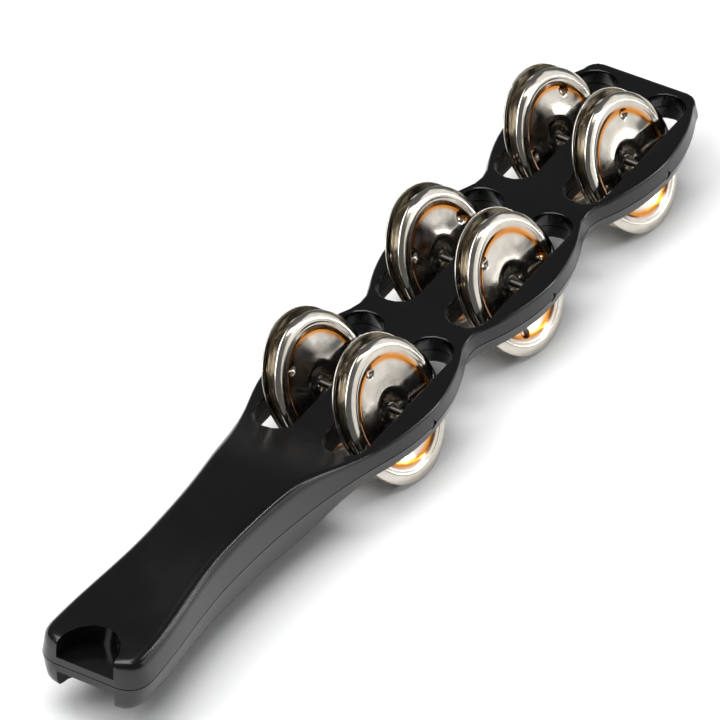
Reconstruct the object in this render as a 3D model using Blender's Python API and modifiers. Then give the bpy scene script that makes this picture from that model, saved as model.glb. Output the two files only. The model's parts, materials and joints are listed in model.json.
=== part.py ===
# Tambourine stick: two moulded half shells with six slots, three cross pins and twelve jingles.
# Metres, +Z up, +X from the handle towards the tip, standing on the rims of its leaning jingles.

import math

import bmesh
import bpy

MM = 0.001

# Outline of the stick, measured along X from the flat tip
LENGTH = 320.3 * MM
TIP_TO_ROW = 34.8 * MM
ROW_PITCH = 70.0 * MM
BULGE_HALF_WIDTH = 27.2 * MM
BULGE_RADIUS = 68.0 * MM
WAIST_RADIUS = 14.0 * MM
TIP_SIDE_RADIUS = 68.0 * MM
TIP_FLAT_HALF = 14.5 * MM
TIP_CORNER_DEPTH = 5.5 * MM
NECK_HALF_WIDTH = 13.9 * MM
NECK_TO_ROW = 92.0 * MM
SHOULDER_TO_ROW = 20.0 * MM
END_HALF_WIDTH = 17.4 * MM
END_CORNER = 7.0 * MM
END_EDGE = 2.5 * MM

# Thickness
PLATE_HALF_THICK = 4.75 * MM
GRIP_HALF_THICK = 11.2 * MM
END_HALF_THICK = 8.6 * MM
RAMP_START_TO_ROW = 24.0 * MM
RAMP_LENGTH = 34.0 * MM
GRIP_TO_ROW = 78.0 * MM
PLATE_EDGE = 1.2 * MM
GRIP_EDGE = 3.4 * MM
DRAFT = 0.9 * MM
PARTING_GAP = 0.3 * MM
SHOULDER_POWER = 2.2

# How finely the outline and its edges are sampled, and how far a cutter passes its face
STATION_STEP = 4.0 * MM
STATION_GAP = 2.4 * MM
EDGE_STEPS = 3
SMALLEST_EDGE = 0.3 * MM
CUT_OVERLAP = 1.0 * MM
TIP_EDGE_SHARES = (0.0, 0.3, 1.0)
TIP_CORNER_SHARES = (0.4, 0.7, 1.0)
END_CORNER_SHARES = (0.0, 0.06, 0.2, 0.4, 0.65, 1.0)

# Pockets moulded inside the grip, and the notches in its end
GRIP_WALL = 2.8 * MM
POCKET_COUNT = 3
POCKET_RIB = 2.4 * MM
POCKET_START_TO_ROW = 44.0 * MM
POCKET_END_MARGIN = 24.0 * MM
POCKET_STEPS = 4
NOTCH_HALF_WIDTH = 9.5 * MM
NOTCH_DEPTH = 12.0 * MM
NOTCH_WEB_HALF = 2.6 * MM

# Slots
COLUMN_PITCH = 24.0 * MM
SLOT_RADIUS = 6.6 * MM
SLOT_CENTRE_HALF = 24.4 * MM
SLOT_CHAMFER = 0.8 * MM
CHAMFER_MIDDLE = 0.3
SLOT_ARC_STEPS = 8

# Pins
PIN_SIDES = 16
PIN_RADIUS = 1.1 * MM
PIN_RECESS = 0.5 * MM
PIN_SEAT_CLEARANCE = 0.3 * MM

# Jingles
JINGLE_RADIUS = 21.9 * MM
JINGLE_SHEET = 0.6 * MM
JINGLE_RISE = 2.0 * MM
CROWN_OUTER = 20.4 * MM
CROWN_INNER = 18.0 * MM
RIM_DROP = 0.9 * MM
DISH_OUTER = 15.8 * MM
DISH_INNER = 7.4 * MM
BELL_INNER = 5.4 * MM
JINGLE_HOLE_RADIUS = 2.4 * MM
DISH_LEVEL = 0.4
JINGLE_LEAN = math.radians(30.0)
JINGLE_EDGE_CLEARANCE = 0.3 * MM
JINGLE_STEPS = 28
JINGLE_MERGE = 0.01 * MM

ROWS = ("handle", "middle", "tip")
COLUMNS = (("right", -1), ("left", 1))

TIP_X = LENGTH / 2
END_X = -LENGTH / 2
TIP_ROW_X = TIP_X - TIP_TO_ROW
ROW_X = {row: TIP_ROW_X - (2 - i) * ROW_PITCH for i, row in enumerate(ROWS)}
HANDLE_ROW_X = ROW_X["handle"]

# A jingle turns about the middle of its depth, set off from the slot's middle so that its
# crowned flange just clears the slot's edge while it leans.
CROWN_OUTSIDE = JINGLE_RISE / 2 + JINGLE_SHEET / 2
JINGLE_OFFSET = (
    SLOT_RADIUS
    - JINGLE_EDGE_CLEARANCE
    - CROWN_OUTSIDE / math.cos(JINGLE_LEAN)
    - PLATE_HALF_THICK * math.tan(JINGLE_LEAN)
)
# The lowest point is the outer corner of a left-facing jingle's rim.
RIM_OUTSIDE = CROWN_OUTSIDE - RIM_DROP
PIN_Z = JINGLE_RADIUS * math.cos(JINGLE_LEAN) + RIM_OUTSIDE * math.sin(JINGLE_LEAN)


def smooth_step(value):
    value = min(1.0, max(0.0, value))
    return value * value * (3 - 2 * value)


def blend(low, high, value):
    return low + (high - low) * smooth_step(value)


def bulge_width(distance, radius):
    return BULGE_HALF_WIDTH - radius + math.sqrt(max(0.0, radius**2 - distance**2))


def waist_floor():
    # Height of the waist fillet's centre, tangent to the two neighbouring bulge arcs
    reach = BULGE_RADIUS + WAIST_RADIUS
    return BULGE_HALF_WIDTH - BULGE_RADIUS + math.sqrt(reach**2 - (ROW_PITCH / 2) ** 2)


def scalloped_width(x):
    # Half width among the three bulges
    nearest = min(ROW_X.values(), key=lambda row_x: abs(x - row_x))
    distance = abs(x - nearest)
    tangent = ROW_PITCH / 2 * BULGE_RADIUS / (BULGE_RADIUS + WAIST_RADIUS)
    if distance <= tangent:
        return bulge_width(distance, BULGE_RADIUS)
    to_waist = ROW_PITCH / 2 - distance
    return waist_floor() - math.sqrt(WAIST_RADIUS**2 - to_waist**2)


def tip_width(x):
    width = bulge_width(x - TIP_ROW_X, TIP_SIDE_RADIUS)
    into_corner = x - (TIP_X - TIP_CORNER_DEPTH)
    if into_corner <= 0:
        return width
    share = into_corner / TIP_CORNER_DEPTH
    start = bulge_width(TIP_X - TIP_CORNER_DEPTH - TIP_ROW_X, TIP_SIDE_RADIUS)
    return TIP_FLAT_HALF + (start - TIP_FLAT_HALF) * math.sqrt(max(0.0, 1 - share**2))


def grip_width(x):
    neck_x = HANDLE_ROW_X - NECK_TO_ROW
    shoulder_x = HANDLE_ROW_X - SHOULDER_TO_ROW
    if x > neck_x:
        share = (shoulder_x - x) / (shoulder_x - neck_x)
        shoulder = bulge_width(SHOULDER_TO_ROW, BULGE_RADIUS)
        return NECK_HALF_WIDTH + (shoulder - NECK_HALF_WIDTH) * (1 - share) ** SHOULDER_POWER
    return blend(NECK_HALF_WIDTH, END_HALF_WIDTH, (neck_x - x) / (neck_x - END_X - END_CORNER))


def half_width(x):
    if x > TIP_ROW_X:
        return tip_width(x)
    if x > HANDLE_ROW_X - SHOULDER_TO_ROW:
        return scalloped_width(x)
    width = grip_width(x)
    into_end = END_X + END_CORNER - x
    if into_end > 0:
        width -= END_CORNER - math.sqrt(max(0.0, END_CORNER**2 - into_end**2))
    return width


def grip_share(x):
    return smooth_step((HANDLE_ROW_X - RAMP_START_TO_ROW - x) / RAMP_LENGTH)


def half_thickness(x):
    grip_x = HANDLE_ROW_X - GRIP_TO_ROW
    grip = blend(GRIP_HALF_THICK, END_HALF_THICK, (grip_x - x) / (grip_x - END_X))
    thick = PLATE_HALF_THICK + (grip - PLATE_HALF_THICK) * grip_share(x)
    into_end = END_X + END_EDGE - x
    if into_end > 0:
        thick -= END_EDGE - math.sqrt(max(0.0, END_EDGE**2 - into_end**2))
    into_tip = x - (TIP_X - PLATE_EDGE)
    if into_tip > 0:
        thick -= PLATE_EDGE - math.sqrt(max(0.0, PLATE_EDGE**2 - into_tip**2))
    return thick


def edge_radius(x):
    radius = PLATE_EDGE + (GRIP_EDGE - PLATE_EDGE) * grip_share(x)
    return min(radius, half_thickness(x) - PARTING_GAP)


def stations():
    # Places along X where the outline is sampled, closer at the tip, the end and the waists
    marks = [TIP_X - PLATE_EDGE * share for share in TIP_EDGE_SHARES]
    marks += [TIP_X - TIP_CORNER_DEPTH * share for share in TIP_CORNER_SHARES]
    marks += [END_X + END_CORNER * share for share in END_CORNER_SHARES]
    low = END_X + END_CORNER
    high = TIP_X - TIP_CORNER_DEPTH
    count = round((high - low) / STATION_STEP)
    ramp = HANDLE_ROW_X - RAMP_START_TO_ROW
    even = [low + (high - low) * i / count for i in range(1, count)]
    marks += [mark for mark in even if abs(mark - ramp) > STATION_GAP] + [ramp]
    return sorted(set(round(mark, 7) for mark in marks))


def section(x, inset=0.0):
    # Right half of the cross-section above the parting plane, from the side to the middle
    width = half_width(x) - inset
    thick = half_thickness(x) - inset
    edge = max(SMALLEST_EDGE, edge_radius(x) - inset)
    base = PARTING_GAP / 2 if inset == 0.0 else -CUT_OVERLAP
    centre_y = width - DRAFT - edge
    points = [(width, base)]
    for i in range(EDGE_STEPS + 1):
        angle = math.pi / 2 * i / EDGE_STEPS
        points.append((centre_y + edge * math.cos(angle), thick - edge + edge * math.sin(angle)))
    return points


def mesh_object(name, bm, collection, material=None):
    bmesh.ops.recalc_face_normals(bm, faces=bm.faces)
    mesh = bpy.data.meshes.new(name)
    bm.to_mesh(mesh)
    bm.free()
    obj = bpy.data.objects.new(name, mesh)
    collection.objects.link(obj)
    if material:
        mesh.materials.append(material)
    return obj


def loft(bm, rings):
    # Closed skin through rings of equal length, with a face on each end
    rows = [[bm.verts.new(point) for point in ring] for ring in rings]
    count = len(rows[0])
    for first, second in zip(rows, rows[1:]):
        for i in range(count):
            j = (i + 1) % count
            bm.faces.new((first[i], first[j], second[j], second[i]))
    bm.faces.new(rows[0])
    bm.faces.new(list(reversed(rows[-1])))


def shell_rings(places, side, inset=0.0):
    rings = []
    for x in places:
        right = section(x, inset)
        left = [(-y, z) for y, z in reversed(right)]
        rings.append([(x, y, PIN_Z + side * z) for y, z in right + left])
    return rings


def stadium(centre_x, centre_y, radius, z):
    ring = []
    for end in (1, -1):
        for i in range(SLOT_ARC_STEPS + 1):
            angle = -math.pi / 2 + math.pi * i / SLOT_ARC_STEPS
            x = centre_x + end * (SLOT_CENTRE_HALF + radius * math.cos(angle))
            ring.append((x, centre_y + end * radius * math.sin(angle), z))
    return ring


def slot_cutter(row, column_side, side, cutters):
    # A slot with round ends, whose edge is broken by a hollow chamfer at the plate's face
    x, y = ROW_X[row], column_side * COLUMN_PITCH / 2
    middle = CHAMFER_MIDDLE * SLOT_CHAMFER
    levels = (
        (-CUT_OVERLAP, SLOT_RADIUS),
        (PLATE_HALF_THICK - SLOT_CHAMFER, SLOT_RADIUS),
        (PLATE_HALF_THICK - middle, SLOT_RADIUS + middle),
        (PLATE_HALF_THICK, SLOT_RADIUS + SLOT_CHAMFER),
        (GRIP_HALF_THICK, SLOT_RADIUS + SLOT_CHAMFER),
    )
    bm = bmesh.new()
    loft(bm, [stadium(x, y, radius, PIN_Z + side * z) for z, radius in levels])
    return mesh_object("slot_cutter", bm, cutters)


def pin_cutter(row, cutters):
    bpy.ops.mesh.primitive_cylinder_add(
        vertices=PIN_SIDES,
        radius=PIN_RADIUS + PIN_SEAT_CLEARANCE,
        depth=4 * BULGE_HALF_WIDTH,
        location=(ROW_X[row], 0, PIN_Z),
        rotation=(math.pi / 2, 0, 0),
    )
    return adopt("pin_cutter", cutters)


def pocket_cutters(side, cutters):
    # Cored pockets inside the grip, open at the parting plane, with a rib between each two
    start = HANDLE_ROW_X - POCKET_START_TO_ROW
    end = END_X + POCKET_END_MARGIN
    pitch = (start - end + POCKET_RIB) / POCKET_COUNT
    made = []
    for i in range(POCKET_COUNT):
        high = start - i * pitch
        low = high - pitch + POCKET_RIB
        places = [low + (high - low) * s / POCKET_STEPS for s in range(POCKET_STEPS + 1)]
        bm = bmesh.new()
        loft(bm, shell_rings(places, side, GRIP_WALL))
        made.append(mesh_object("pocket_cutter", bm, cutters))
    return made


def notch_cutter(side, cutters):
    # An arch-shaped recess in the end of the grip, down to its middle web
    outside = END_X - CUT_OVERLAP
    ring = [(outside, NOTCH_HALF_WIDTH), (outside, -NOTCH_HALF_WIDTH)]
    for i in range(SLOT_ARC_STEPS + 1):
        angle = -math.pi / 2 + math.pi * i / SLOT_ARC_STEPS
        along = NOTCH_DEPTH * math.cos(angle)
        ring.append((END_X + along, NOTCH_HALF_WIDTH * math.sin(angle)))
    bm = bmesh.new()
    levels = (NOTCH_WEB_HALF, GRIP_HALF_THICK + CUT_OVERLAP)
    loft(bm, [[(x, y, PIN_Z + side * z) for x, y in ring] for z in levels])
    return mesh_object("notch_cutter", bm, cutters)


def adopt(name, collection, material=None):
    obj = bpy.context.object
    obj.name = name
    for owner in list(obj.users_collection):
        owner.objects.unlink(obj)
    collection.objects.link(obj)
    if material:
        obj.data.materials.append(material)
    return obj


def cut(obj, cutter):
    cutter.hide_render = True
    cutter.display_type = "WIRE"
    modifier = obj.modifiers.new("cut", "BOOLEAN")
    modifier.operation = "DIFFERENCE"
    modifier.solver = "EXACT"
    modifier.object = cutter


def half_shell(name, side, parts, cutters, material):
    bm = bmesh.new()
    loft(bm, shell_rings(stations(), side))
    shell = mesh_object(name, bm, parts, material)
    for row in ROWS:
        cut(shell, pin_cutter(row, cutters))
        for _, column_side in COLUMNS:
            cut(shell, slot_cutter(row, column_side, side, cutters))
    for pocket in pocket_cutters(side, cutters):
        cut(shell, pocket)
    cut(shell, notch_cutter(side, cutters))
    return shell


def cross_pin(row, parts, material):
    bpy.ops.mesh.primitive_cylinder_add(
        vertices=PIN_SIDES,
        radius=PIN_RADIUS,
        depth=2 * (BULGE_HALF_WIDTH - PIN_RECESS),
        location=(ROW_X[row], 0, PIN_Z),
        rotation=(math.pi / 2, 0, 0),
    )
    return adopt(f"pin_{row}", parts, material)


def jingle_mesh():
    # Pressed sheet: a crowned flange, a wall down to the dish and a shallow bell round the hole
    low = -JINGLE_RISE / 2
    high = JINGLE_RISE / 2
    dish = low + JINGLE_RISE * DISH_LEVEL
    middle = [
        (JINGLE_HOLE_RADIUS, low),
        (BELL_INNER, low),
        (DISH_INNER, dish),
        (DISH_OUTER, dish),
        (CROWN_INNER, high),
        (CROWN_OUTER, high),
        (JINGLE_RADIUS, high - RIM_DROP),
    ]
    half = JINGLE_SHEET / 2
    top = [(r, z + half) for r, z in middle]
    bottom = [(r, z - half) for r, z in reversed(middle)]
    mesh = bpy.data.meshes.new("jingle")
    points = [(r, 0, z) for r, z in top + bottom]
    edges = [(i, (i + 1) % len(points)) for i in range(len(points))]
    mesh.from_pydata(points, edges, [])
    return mesh


def jingle(name, mesh, location, outward, parts):
    obj = bpy.data.objects.new(name, mesh)
    parts.objects.link(obj)
    obj.location = location
    quarter = math.pi / 2
    obj.rotation_euler.x = quarter - JINGLE_LEAN if outward < 0 else -quarter - JINGLE_LEAN
    screw = obj.modifiers.new("turn", "SCREW")
    screw.steps = JINGLE_STEPS
    screw.render_steps = JINGLE_STEPS
    screw.use_merge_vertices = True
    screw.merge_threshold = JINGLE_MERGE
    return obj


def finish(name, colour, roughness, metallic):
    material = bpy.data.materials.new(name)
    material.use_nodes = True
    shader = material.node_tree.nodes["Principled BSDF"]
    shader.inputs["Base Color"].default_value = (*colour, 1)
    shader.inputs["Roughness"].default_value = roughness
    shader.inputs["Metallic"].default_value = metallic
    return material


def main():
    for obj in list(bpy.data.objects):
        bpy.data.objects.remove(obj)
    parts = bpy.data.collections.new("tambourine_stick")
    cutters = bpy.data.collections.new("cutters")
    for collection in (parts, cutters):
        bpy.context.scene.collection.children.link(collection)

    black = finish("black_plastic", (0.012, 0.012, 0.013), 0.25, 0.0)
    steel = finish("pin_steel", (0.55, 0.54, 0.52), 0.25, 1.0)
    nickel = finish("nickel", (0.70, 0.66, 0.60), 0.2, 1.0)

    half_shell("upper_shell", 1, parts, cutters, black)
    half_shell("lower_shell", -1, parts, cutters, black)

    mesh = jingle_mesh()
    mesh.materials.append(nickel)
    for row in ROWS:
        cross_pin(row, parts, steel)
        for column, column_side in COLUMNS:
            for outward in (-1, 1):
                place = "outer" if outward == column_side else "inner"
                y = column_side * COLUMN_PITCH / 2 + outward * JINGLE_OFFSET
                name = f"jingle_{row}_{column}_{place}"
                jingle(name, mesh, (ROW_X[row], y, PIN_Z), outward, parts)

    print("pin height", round(PIN_Z / MM, 3), "jingle offset", round(JINGLE_OFFSET / MM, 3))
    print("rows at", [round(x / MM, 2) for x in ROW_X.values()])


main()
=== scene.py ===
import json
import math

import bmesh
import bpy
import numpy as np
from mathutils import Matrix, Vector


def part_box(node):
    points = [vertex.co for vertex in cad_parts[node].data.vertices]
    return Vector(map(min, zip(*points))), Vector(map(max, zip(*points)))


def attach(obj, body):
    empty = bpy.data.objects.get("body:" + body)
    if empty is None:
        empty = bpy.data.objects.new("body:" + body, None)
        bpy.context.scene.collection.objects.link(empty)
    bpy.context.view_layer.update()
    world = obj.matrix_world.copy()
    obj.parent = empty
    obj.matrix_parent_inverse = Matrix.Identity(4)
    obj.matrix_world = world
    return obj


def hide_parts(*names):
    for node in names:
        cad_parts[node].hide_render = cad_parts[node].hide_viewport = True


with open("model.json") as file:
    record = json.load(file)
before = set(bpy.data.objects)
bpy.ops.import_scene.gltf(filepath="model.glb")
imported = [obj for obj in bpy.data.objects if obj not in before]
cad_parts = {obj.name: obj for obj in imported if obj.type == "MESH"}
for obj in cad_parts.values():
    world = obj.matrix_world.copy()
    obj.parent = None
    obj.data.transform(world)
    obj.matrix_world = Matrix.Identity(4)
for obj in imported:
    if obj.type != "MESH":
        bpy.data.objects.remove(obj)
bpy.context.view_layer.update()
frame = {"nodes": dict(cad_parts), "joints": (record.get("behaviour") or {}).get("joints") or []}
mm = 0.001

jingleNodes = sorted(name for name in frame["nodes"] if name.startswith("jingle_"))
pinLow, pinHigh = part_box("pin_middle")
pinZ = (pinLow[2] + pinHigh[2]) / 2
midRowX = (pinLow[0] + pinHigh[0]) / 2
print("frame loaded, pins at height", round(pinZ / mm, 2), "mm")


def toLinear(hexColour):  # sRGB hex to the linear colour that the shader wants
    parts = [int(hexColour[i:i + 2], 16) / 255 for i in (0, 2, 4)]
    linear = [c / 12.92 if c <= 0.04045 else ((c + 0.055) / 1.055) ** 2.4 for c in parts]
    return (*linear, 1.0)


def addNode(tree, kind, settings=None, links=None):  # one node, its settings and what feeds it
    node = tree.nodes.new(kind)
    for key, value in (settings or {}).items():
        if isinstance(key, str) and hasattr(node, key):
            setattr(node, key, value)
        else:
            node.inputs[key].default_value = value
    for key, source in (links or {}).items():
        tree.links.new(source, node.inputs[key])
    return node


def newMaterial(name):
    material = bpy.data.materials.new(name)
    material.use_nodes = True
    return material, material.node_tree, material.node_tree.nodes["Principled BSDF"]


plastic = {
    "colour": "060607",
    "ior": 1.54,
    "roughness": (0.13, 0.24),  # polished mould faces, dulled by handling
    "marks": 22 * mm,  # size of the handling marks
    "markRange": (0.3, 0.7),  # part of the noise that the roughness is spread over
    "ripple": 0.9 * mm,  # faint moulding ripple
    "rippleDepth": 0.02 * mm,
    "rippleStrength": 0.25,
}


def mouldedAbs():
    # Injection-moulded black ABS: deep black with a clear, slightly rippled gloss
    material, tree, shader = newMaterial("mouldedAbs")
    place = addNode(tree, "ShaderNodeTexCoord").outputs["Object"]
    marks = addNode(
        tree,
        "ShaderNodeTexNoise",
        {"Scale": 1 / plastic["marks"], "Detail": 6.0},
        {"Vector": place},
    )
    start, end = plastic["markRange"]
    low, high = plastic["roughness"]
    spread = addNode(
        tree,
        "ShaderNodeMapRange",
        {"From Min": start, "From Max": end, "To Min": low, "To Max": high},
        {"Value": marks.outputs["Fac"]},
    )
    ripple = addNode(
        tree,
        "ShaderNodeTexNoise",
        {"Scale": 1 / plastic["ripple"], "Detail": 2.0},
        {"Vector": place},
    )
    bump = addNode(
        tree,
        "ShaderNodeBump",
        {"Strength": plastic["rippleStrength"], "Distance": plastic["rippleDepth"]},
        {"Height": ripple.outputs["Fac"]},
    )
    shader.inputs["Base Color"].default_value = toLinear(plastic["colour"])
    shader.inputs["IOR"].default_value = plastic["ior"]
    tree.links.new(spread.outputs["Result"], shader.inputs["Roughness"])
    tree.links.new(bump.outputs["Normal"], shader.inputs["Normal"])
    return material


nickel = {
    "bright": "dcd8cf",
    "dull": "b9b0a2",
    "amber": "d0801c",  # painted reflection of a warm light, in the angle below the flange
    "roughness": (0.07, 0.20),
    "tarnish": 5 * mm,  # size of the duller patches
    "tarnishRange": (0.35, 0.65),
    "ringPitch": 0.45 * mm,  # turned marks, drawn a little coarse so that they show
    "ringDepth": 0.006 * mm,
    "ringStrength": 0.3,
}


def platedNickel():
    # Nickel plate on pressed steel: a warm grey mirror with faint turned rings, soft tarnish, and
    # a band of painted amber reflection of a warm light below the flange
    material, tree, shader = newMaterial("platedNickel")
    place = addNode(tree, "ShaderNodeTexCoord").outputs["Object"]
    radius = addNode(tree, "ShaderNodeAttribute", {"attribute_name": "ringRadius"}).outputs["Fac"]
    # strength of the painted amber reflection, set per point on the jingles
    paintedReflection = addNode(tree, "ShaderNodeAttribute", {"attribute_name": "paintedReflection"}).outputs["Fac"]
    tarnish = addNode(
        tree,
        "ShaderNodeTexNoise",
        {"Scale": 1 / nickel["tarnish"], "Detail": 5.0},
        {"Vector": place},
    )
    plate = addNode(
        tree,
        "ShaderNodeMix",
        {"data_type": "RGBA", 6: toLinear(nickel["bright"]), 7: toLinear(nickel["dull"])},
        {0: tarnish.outputs["Fac"]},
    )
    # the painted warm reflection is mixed into the plate's colour here
    tint = addNode(
        tree,
        "ShaderNodeMix",
        {"data_type": "RGBA", 7: toLinear(nickel["amber"])},
        {0: paintedReflection, 6: plate.outputs[2]},
    )
    rings = addNode(
        tree,
        "ShaderNodeMath",
        {"operation": "MULTIPLY", 1: 2 * math.pi / nickel["ringPitch"]},
        {0: radius},
    )
    wave = addNode(tree, "ShaderNodeMath", {"operation": "SINE"}, {0: rings.outputs[0]})
    bump = addNode(
        tree,
        "ShaderNodeBump",
        {"Strength": nickel["ringStrength"], "Distance": nickel["ringDepth"]},
        {"Height": wave.outputs[0]},
    )
    start, end = nickel["tarnishRange"]
    low, high = nickel["roughness"]
    spread = addNode(
        tree,
        "ShaderNodeMapRange",
        {"From Min": start, "From Max": end, "To Min": low, "To Max": high},
        {"Value": tarnish.outputs["Fac"]},
    )
    shader.inputs["Metallic"].default_value = 1.0
    tree.links.new(tint.outputs[2], shader.inputs["Base Color"])
    tree.links.new(spread.outputs["Result"], shader.inputs["Roughness"])
    tree.links.new(bump.outputs["Normal"], shader.inputs["Normal"])
    return material


wire = {
    # painted shade: the steel's colour is drawn far darker than bare steel
    "colour": "4a4845",
    "roughness": (0.22, 0.45),
    "scratch": (0.25 * mm, 16.7 * mm),  # width and length of the drawing marks
}


def drawnWire():
    # Drawn steel wire, its colour darkened all over as painted shade for where it sits inside the
    # jingles' bells and the slots, with fine scratches along its length
    material, tree, shader = newMaterial("drawnWire")
    place = addNode(tree, "ShaderNodeTexCoord").outputs["Object"]
    across, along = (1 / size for size in wire["scratch"])
    stretched = addNode(
        tree, "ShaderNodeMapping", {"Scale": (across, along, across)}, {"Vector": place}
    )
    scratch = addNode(
        tree, "ShaderNodeTexNoise", {"Detail": 3.0}, {"Vector": stretched.outputs[0]}
    )
    low, high = wire["roughness"]
    spread = addNode(
        tree,
        "ShaderNodeMapRange",
        {"To Min": low, "To Max": high},
        {"Value": scratch.outputs["Fac"]},
    )
    shader.inputs["Metallic"].default_value = 1.0
    shader.inputs["Base Color"].default_value = toLinear(wire["colour"])
    tree.links.new(spread.outputs["Result"], shader.inputs["Roughness"])
    return material


absMaterial, nickelMaterial, wireMaterial = mouldedAbs(), platedNickel(), drawnWire()
print("materials made")


shells = {"nodes": ("upper_shell", "lower_shell"), "sharpAngle": math.radians(32)}
pins = {"nodes": ("pin_handle", "pin_middle", "pin_tip"), "sharpAngle": math.radians(40)}
skin = {"weld": 0.001 * mm, "broadFaceWeight": 100}


def smoothSkin(node, material, sharpAngle):
    # The node's own surface, welded, smooth up to an angle. Broad faces stay flat, and the
    # narrow rounded edges take the turn.
    mesh = frame["nodes"][node].data.copy()
    mesh.name = node + "_skin"
    bm = bmesh.new()
    bm.from_mesh(mesh)
    bmesh.ops.remove_doubles(bm, verts=bm.verts, dist=skin["weld"])
    for face in bm.faces:
        face.smooth = True
    for edge in bm.edges:
        edge.smooth = edge.calc_face_angle(0) < sharpAngle
    bm.to_mesh(mesh)
    bm.free()
    mesh.materials.clear()
    mesh.materials.append(material)
    obj = bpy.data.objects.new(node + "_skin", mesh)
    bpy.context.scene.collection.objects.link(obj)
    normals = obj.modifiers.new("normals", "WEIGHTED_NORMAL")
    normals.keep_sharp = True
    normals.weight = skin["broadFaceWeight"]
    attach(obj, "stick")
    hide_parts(node)


for shellNode in shells["nodes"]:
    smoothSkin(shellNode, absMaterial, shells["sharpAngle"])
for pinNode in pins["nodes"]:
    smoothSkin(pinNode, wireMaterial, pins["sharpAngle"])
print("shells and pins made")


jingle = {
    "radius": 21.9 * mm,
    "hole": 2.4 * mm,
    "rise": 1.0 * mm,  # crown above, bell below the middle
    "sheet": 0.6 * mm,
    "bell": (4.6 * mm, 7.6 * mm),  # radii where the bell's wall starts and ends
    "dish": (-0.45 * mm, 0.15 * mm),  # height of the hollow dish at the bell and at the wall
    "wall": (15.6 * mm, 18.0 * mm),  # radii where the wall under the flange starts and ends
    "crown": 19.1 * mm,  # radius where the rounded flange is highest
    "crownSag": (0.25 * mm, 0.9 * mm),  # how far the flange falls to the wall and to the rim
    "rim": (0.25 * mm, 0.08 * mm),  # how far in the rim's rounding starts, and its middle ring
    "rimThinning": 0.75,  # 1 would bring the rim to a knife edge
    "dimpleCount": 3,
    "dimpleRadius": 14.9 * mm,
    "dimpleWidth": 3.2 * mm,
    "dimpleDepth": 1.1 * mm,
    "dimpleEdge": 0.2,  # share of the dimple that its soft edge takes
    "paintedReflectionBand": (14.2 * mm, 16.0 * mm, 18.0 * mm),  # from, strongest, to, for the painted amber reflection
    "rings": (4, 10, 22, 12, 12),  # bell floor, bell wall, dish, flange wall, flange
    "around": 168,
    "lean": math.radians(30.0),
    "spins": (10, 75, 40, 100, 25, 60, 85, 5, 50, 95, 30, 65),  # where each has its dimples
}


def easeBetween(value, start, end):  # 0 up to start, 1 from end, a smooth step between
    share = np.clip((value - start) / (end - start), 0, 1)
    return share * share * (3 - 2 * share)


def ringRadii():  # radii of the grid's rings, evenly spaced within each zone
    roundStart, roundMiddle = jingle["rim"]
    rim = jingle["radius"]
    marks = (jingle["hole"], *jingle["bell"], *jingle["wall"], rim - roundStart)
    zones = zip(marks, marks[1:], jingle["rings"])
    even = [np.linspace(start, end, count, endpoint=False) for start, end, count in zones]
    return np.concatenate([*even, [rim - roundStart, rim - roundMiddle, rim]])


def sheetHeight(r, a, spin):
    # Height over radius: a flat bell floor, a smooth step up to a dish that is a parabola, and
    # a smooth step up to a flange that is an arch. Each dimple takes half an ellipse off it.
    bellStart, bellEnd = jingle["bell"]
    wallStart, wallEnd = jingle["wall"]
    inside, outside = jingle["crownSag"]
    crown = jingle["crown"]
    reach = np.where(r < crown, crown - wallEnd, jingle["radius"] - crown)
    arch = np.where(r < crown, inside, outside) * ((r - crown) / reach) ** 2
    flange = jingle["rise"] - np.where(r < wallEnd, inside, arch)
    nearBell, nearWall = jingle["dish"]
    across = np.clip((r - bellEnd) / (wallStart - bellEnd), 0, 1)
    dish = nearBell + (nearWall - nearBell) * across**2
    height = -jingle["rise"] + (dish + jingle["rise"]) * easeBetween(r, bellStart, bellEnd)
    height += (flange - height) * easeBetween(r, wallStart, wallEnd)
    for k in range(jingle["dimpleCount"]):
        centre = math.radians(spin) + 2 * math.pi * k / jingle["dimpleCount"]
        dx = r * np.cos(a) - jingle["dimpleRadius"] * math.cos(centre)
        dy = r * np.sin(a) - jingle["dimpleRadius"] * math.sin(centre)
        share = np.clip(1 - (dx**2 + dy**2) / (jingle["dimpleWidth"] / 2) ** 2, 0, 1)
        height -= jingle["dimpleDepth"] * share**0.5 * easeBetween(share, 0, jingle["dimpleEdge"])
    return height


def sheetGrid(spin):
    # Two sheets, half the thickness above and below the height and thinner at the rim, run
    # from hole to rim and back as one closed grid of rings
    r, a = np.meshgrid(
        ringRadii(), np.linspace(0, 2 * math.pi, jingle["around"], endpoint=False), indexing="ij"
    )
    height = sheetHeight(r, a, spin)
    edge = np.clip((jingle["radius"] - r) / jingle["rim"][0], 0, 1)
    half = jingle["sheet"] / 2 * np.sqrt(1 - (1 - edge) ** 2 * jingle["rimThinning"])
    top = np.stack([r * np.cos(a), r * np.sin(a), height + half], axis=-1)
    bottom = np.stack([r * np.cos(a), r * np.sin(a), height - half], axis=-1)[::-1]
    return r, np.concatenate([top, bottom], axis=0)


def gridFaces(rows, columns):  # quads of a grid that closes on itself both ways
    i, j = np.meshgrid(np.arange(rows), np.arange(columns), indexing="ij")
    nextI, nextJ = (i + 1) % rows, (j + 1) % columns
    corners = [i * columns + j, nextI * columns + j, nextI * columns + nextJ, i * columns + nextJ]
    return np.stack(corners, axis=-1).reshape(-1, 4)


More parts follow.
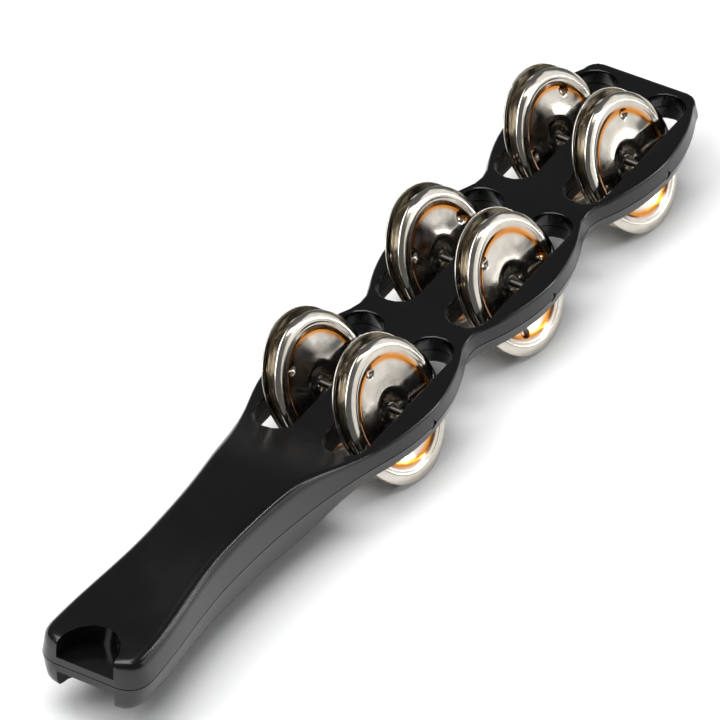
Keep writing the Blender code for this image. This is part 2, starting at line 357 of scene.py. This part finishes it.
def placedOnHinge(node, flat):
    # Turned about X so that the flange faces its side and the disc leans, then moved to the hinge
    facesRight = node.endswith(("right_outer", "left_inner"))
    tilt = (math.pi / 2 if facesRight else -math.pi / 2) - jingle["lean"]
    cosT, sinT = math.cos(tilt), math.sin(tilt)
    x, y, z = flat.T
    hinge = next(joint["pos_m"] for joint in frame["joints"] if joint["child"] == node)
    return np.stack([x, y * cosT - z * sinT, y * sinT + z * cosT], axis=-1) + np.array(hinge)


def pointAttribute(mesh, name, values):
    layer = mesh.attributes.new(name, "FLOAT", "POINT")
    layer.data.foreach_set("value", values.astype(np.float32))


def jinglePiece(node, spin):
    r, points = sheetGrid(spin)
    flat = points.reshape(-1, 3)
    mesh = bpy.data.meshes.new(node + "_disc")
    faces = gridFaces(points.shape[0], jingle["around"])
    mesh.from_pydata(placedOnHinge(node, flat).tolist(), [], faces.tolist())
    pointAttribute(mesh, "ringRadius", np.hypot(flat[:, 0], flat[:, 1]))
    # painted amber reflection: a band on the upper sheet only, none on the under sheet
    start, strongest, end = jingle["paintedReflectionBand"]
    band = np.minimum(easeBetween(r, start, strongest), 1 - easeBetween(r, strongest, end))
    pointAttribute(mesh, "paintedReflection", np.concatenate([band.ravel(), np.zeros(band.size)]))
    mesh.materials.append(nickelMaterial)
    mesh.shade_smooth()
    bm = bmesh.new()
    bm.from_mesh(mesh)
    bmesh.ops.recalc_face_normals(bm, faces=bm.faces)
    bm.to_mesh(mesh)
    bm.free()
    obj = bpy.data.objects.new(node + "_disc", mesh)
    bpy.context.scene.collection.objects.link(obj)
    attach(obj, node)
    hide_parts(node)


for jingleNode, spin in zip(jingleNodes, jingle["spins"]):
    jinglePiece(jingleNode, spin)
print("jingles made")


view = {
    "azimuth": math.radians(-58.95),
    "elevation": math.radians(38.67),
    "distance": 2153.3 * mm,
    "offset": (33.81 * mm, 26.69 * mm),  # of the photograph's centre from the middle pin
    "rowShift": 1.1 * mm,
    "focal": 7203.0,  # in photograph pixels
    "frame": 720,
    "sensor": 36.0,
    "clipEnd": 20.0,
}


def placeCamera():
    # The camera looks along the line given by azimuth and elevation, through a point that is
    # set off from the middle pin in the picture's own right and up directions
    turn, rise = view["azimuth"], view["elevation"]
    flatReach = math.cos(rise)
    back = np.array([math.sin(turn) * flatReach, -math.cos(turn) * flatReach, math.sin(rise)])
    right = np.array([math.cos(turn), math.sin(turn), 0.0])
    up = np.cross(back, right)
    x, y = view["offset"]
    target = np.array([midRowX - view["rowShift"], 0.0, pinZ])
    place = target + view["distance"] * back - x * right - y * up
    data = bpy.data.cameras.new("camera")
    data.sensor_width = view["sensor"]
    data.lens = view["sensor"] * view["focal"] / view["frame"]
    data.clip_end = view["clipEnd"]
    camera = bpy.data.objects.new("camera", data)
    camera.matrix_world = Matrix((*zip(right, up, back, place), (0, 0, 0, 1)))
    bpy.context.scene.collection.objects.link(camera)
    bpy.context.scene.camera = camera


floor = {"reach": 6.0, "colour": "fbfbfb", "roughness": 0.9}


def makeFloor():
    reach = floor["reach"]
    corners = [(-reach, -reach, 0), (reach, -reach, 0), (reach, reach, 0), (-reach, reach, 0)]
    mesh = bpy.data.meshes.new("floor")
    mesh.from_pydata(corners, [], [(0, 1, 2, 3)])
    obj = bpy.data.objects.new("floor", mesh)
    bpy.context.scene.collection.objects.link(obj)
    material, tree, shader = newMaterial("paperFloor")
    shader.inputs["Base Color"].default_value = toLinear(floor["colour"])
    shader.inputs["Roughness"].default_value = floor["roughness"]
    mesh.materials.append(material)


lamps = {  # place, width and height, watts; all in metres, and aimed at the object
    "softTop": ((-0.2, 0.2, 1.7), (1.6, 1.6), 34),
    "softLeft": ((-1.1, 0.75, 1.2), (0.6, 0.6), 9),
    "lowCard": ((1.0, -1.1, 0.42), (1.5, 0.7), 3.4),  # lights the jingles' dishes
    "edgeStrip": ((0.95, -0.9, 0.62), (0.05, 1.3), 2.6),  # draws the light line on the edges
}
sky = {"colour": "f3f6f9", "strength": 0.16}


def areaLamp(name, place, size, watts):
    data = bpy.data.lights.new(name, "AREA")
    data.shape = "RECTANGLE"
    data.size, data.size_y = size
    data.energy = watts
    lamp = bpy.data.objects.new(name, data)
    lamp.location = place
    lamp.rotation_mode = "QUATERNION"
    lamp.rotation_quaternion = (-Vector(place)).to_track_quat("-Z", "Y")
    bpy.context.scene.collection.objects.link(lamp)


def makeSky():
    world = bpy.data.worlds.new("sky")
    bpy.context.scene.world = world
    world.use_nodes = True
    background = world.node_tree.nodes["Background"]
    background.inputs["Color"].default_value = toLinear(sky["colour"])
    background.inputs["Strength"].default_value = sky["strength"]


placeCamera()
makeFloor()
for lampName, (place, size, watts) in lamps.items():
    areaLamp(lampName, place, size, watts)
makeSky()
bpy.context.scene.view_settings.view_transform = "Standard"
print("studio made")
